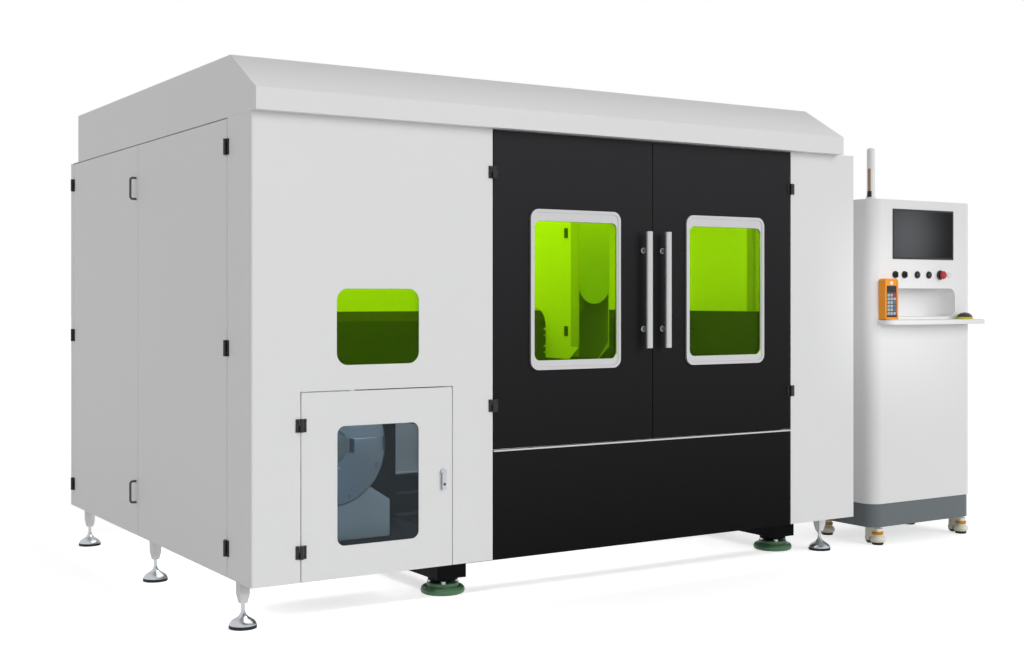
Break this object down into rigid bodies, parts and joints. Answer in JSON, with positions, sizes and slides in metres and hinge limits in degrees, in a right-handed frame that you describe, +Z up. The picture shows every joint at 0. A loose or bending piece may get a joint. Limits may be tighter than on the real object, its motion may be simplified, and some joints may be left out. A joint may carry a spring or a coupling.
{
  "type": "laser cutting machine",
  "caption": "Enclosed laser cutting machine with tinted-window doors, a hooded roof, an inner gantry and tube chuck, and a free-standing control console.",
  "frame": {"origin": "on the floor, under the middle of the bounding box of machine and console", "axes": "+X along the front towards the console, +Y from the front to the rear, +Z up"},
  "size_m": [4.031, 2.447, 2.117],
  "materials": {
    "white_powder_coat": "matt powder coat",
    "black_powder_coat": "textured powder coat",
    "satin_aluminium": "satin",
    "green_acrylic": "clear tinted",
    "grey_acrylic": "clear tinted",
    "chromed_steel": "polished",
    "black_rubber": "matt",
    "green_casting": "painted",
    "black_hinge_steel": "satin",
    "mild_steel": "bare",
    "grey_casting": "painted",
    "head_aluminium": "anodised",
    "grey_skirt_paint": "matt",
    "screen_plastic": "gloss",
    "black_plastic": "satin",
    "red_plastic": "satin",
    "orange_plastic": "satin",
    "mast_plastic": "gloss",
    "cream_plastic": "satin"
  },
  "bodies": {
    "machine": {"enclosure_frame": "white_powder_coat", "hood": "white_powder_coat", "front_left_panel": "white_powder_coat", "front_right_panel": "white_powder_coat", "front_lower_panel": "black_powder_coat", "door_sill": "satin_aluminium", "right_side_panel": "white_powder_coat", "rear_panel": "white_powder_coat", "fixed_window": "green_acrylic", "levelling_feet": "chromed_steel", "foot_rims": "black_rubber", "fixed_hinge_leaves": "black_hinge_steel", "machine_bed": "black_powder_coat", "bed_mounts": "green_casting", "cutting_slats": "mild_steel", "chuck_pedestal": "grey_casting", "console_cabinet": "white_powder_coat", "console_skirt": "grey_skirt_paint", "console_screen": "screen_plastic", "console_shelf": "white_powder_coat", "control_rings": "black_plastic", "pendant": "orange_plastic", "mouse": "black_plastic", "signal_mast": "mast_plastic"},
    "left_door": {"left_door": "black_powder_coat", "left_window_frame": "satin_aluminium", "left_window_pane": "green_acrylic", "left_handle": "satin_aluminium", "left_door_hinges": "black_hinge_steel"},
    "right_door": {"right_door": "black_powder_coat", "right_window_frame": "satin_aluminium", "right_window_pane": "green_acrylic", "right_handle": "satin_aluminium", "right_door_hinges": "black_hinge_steel"},
    "access_door": {"access_door": "white_powder_coat", "access_pane": "grey_acrylic", "access_hinges": "black_hinge_steel"},
    "access_lever": {"access_lever": "black_hinge_steel"},
    "side_door_front": {"side_door_front": "white_powder_coat", "side_front_hinges": "black_hinge_steel"},
    "side_door_rear": {"side_door_rear": "white_powder_coat", "side_rear_hinges": "black_hinge_steel", "side_pulls": "chromed_steel"},
    "gantry": {"gantry_beam": "black_powder_coat"},
    "carriage": {"carriage": "white_powder_coat"},
    "cutting_head": {"cutting_head": "head_aluminium"},
    "chuck": {"chuck_plate": "mild_steel"},
    "push_button_1": {"push_button_1": "black_plastic"},
    "push_button_2": {"push_button_2": "black_plastic"},
    "selector_1": {"selector_1": "black_plastic"},
    "selector_2": {"selector_2": "black_plastic"},
    "emergency_stop": {"emergency_stop": "red_plastic"},
    "castor_1": {"castor_1": "cream_plastic"},
    "castor_wheel_1": {"castor_wheel_1": "black_plastic"},
    "castor_2": {"castor_2": "cream_plastic"},
    "castor_wheel_2": {"castor_wheel_2": "black_plastic"},
    "castor_3": {"castor_3": "cream_plastic"},
    "castor_wheel_3": {"castor_wheel_3": "black_plastic"},
    "castor_4": {"castor_4": "cream_plastic"},
    "castor_wheel_4": {"castor_wheel_4": "black_plastic"}
  },
  "joints": [
    {"name": "left_door_swing", "type": "hinge", "parent": "machine", "child": "left_door", "pos_m": [-0.9695, -1.1745, 0.618], "axis": [0, 0, -1], "range_deg": [0, 110]},
    {"name": "right_door_swing", "type": "hinge", "parent": "machine", "child": "right_door", "pos_m": [0.6345, -1.1745, 0.618], "axis": [0, 0, 1], "range_deg": [0, 110]},
    {"name": "access_door_swing", "type": "hinge", "parent": "machine", "child": "access_door", "pos_m": [-1.7925, -1.1745, 0.618], "axis": [0, 0, -1], "range_deg": [0, 110]},
    {"name": "side_door_front_swing", "type": "hinge", "parent": "machine", "child": "side_door_front", "pos_m": [-1.9925, -0.9305, 0.618], "axis": [0, 0, 1], "range_deg": [0, 110]},
    {"name": "side_door_rear_swing", "type": "hinge", "parent": "machine", "child": "side_door_rear", "pos_m": [-1.9925, 1.1735, 0.618], "axis": [0, 0, -1], "range_deg": [0, 110]},
    {"name": "access_lever_turn", "type": "hinge", "parent": "access_door", "child": "access_lever", "pos_m": [-1.1975, -1.1665, 0.545], "axis": [0, 1, 0], "range_deg": [0, 90]},
    {"name": "gantry_slide", "type": "slide", "parent": "machine", "child": "gantry", "axis": [0, 1, 0], "range_m": [-0.4, 0.91]},
    {"name": "carriage_slide", "type": "slide", "parent": "gantry", "child": "carriage", "axis": [1, 0, 0], "range_m": [-1.562, 0.706]},
    {"name": "head_slide", "type": "slide", "parent": "carriage", "child": "cutting_head", "axis": [0, 0, 1], "range_m": [-0.16, 0]},
    {"name": "chuck_turn", "type": "hinge", "parent": "machine", "child": "chuck", "pos_m": [-1.5295, -0.8665, 0.634], "axis": [0, 1, 0], "continuous": true},
    {"name": "emergency_stop_press", "type": "slide", "parent": "machine", "child": "emergency_stop", "axis": [0, 1, 0], "range_m": [0, 0.005]},
    {"name": "push_button_1_press", "type": "slide", "parent": "machine", "child": "push_button_1", "axis": [0, 1, 0], "range_m": [0, 0.004], "stiffness_N_per_m": 600},
    {"name": "push_button_2_press", "type": "slide", "parent": "machine", "child": "push_button_2", "axis": [0, 1, 0], "range_m": [0, 0.004], "stiffness_N_per_m": 600},
    {"name": "selector_1_turn", "type": "hinge", "parent": "machine", "child": "selector_1", "pos_m": [1.4195, -1.0815, 1.333], "axis": [0, 1, 0], "range_deg": [-45, 45]},
    {"name": "selector_2_turn", "type": "hinge", "parent": "machine", "child": "selector_2", "pos_m": [1.4855, -1.0815, 1.333], "axis": [0, 1, 0], "range_deg": [-45, 45]},
    {"name": "castor_1_swivel", "type": "hinge", "parent": "machine", "child": "castor_1", "pos_m": [1.3405, -1.0115, 0.091], "axis": [0, 0, 1], "continuous": true},
    {"name": "castor_wheel_1_roll", "type": "hinge", "parent": "castor_1", "child": "castor_wheel_1", "pos_m": [1.3405, -0.9935, 0.027], "axis": [1, 0, 0], "continuous": true},
    {"name": "castor_2_swivel", "type": "hinge", "parent": "machine", "child": "castor_2", "pos_m": [1.9545, -1.0115, 0.091], "axis": [0, 0, 1], "continuous": true},
    {"name": "castor_wheel_2_roll", "type": "hinge", "parent": "castor_2", "child": "castor_wheel_2", "pos_m": [1.9545, -0.9935, 0.027], "axis": [1, 0, 0], "continuous": true},
    {"name": "castor_3_swivel", "type": "hinge", "parent": "machine", "child": "castor_3", "pos_m": [1.3405, -0.6715, 0.091], "axis": [0, 0, 1], "continuous": true},
    {"name": "castor_wheel_3_roll", "type": "hinge", "parent": "castor_3", "child": "castor_wheel_3", "pos_m": [1.3405, -0.6535, 0.027], "axis": [1, 0, 0], "continuous": true},
    {"name": "castor_4_swivel", "type": "hinge", "parent": "machine", "child": "castor_4", "pos_m": [1.9545, -0.6715, 0.091], "axis": [0, 0, 1], "continuous": true},
    {"name": "castor_wheel_4_roll", "type": "hinge", "parent": "castor_4", "child": "castor_wheel_4", "pos_m": [1.9545, -0.6535, 0.027], "axis": [1, 0, 0], "continuous": true}
  ]
}
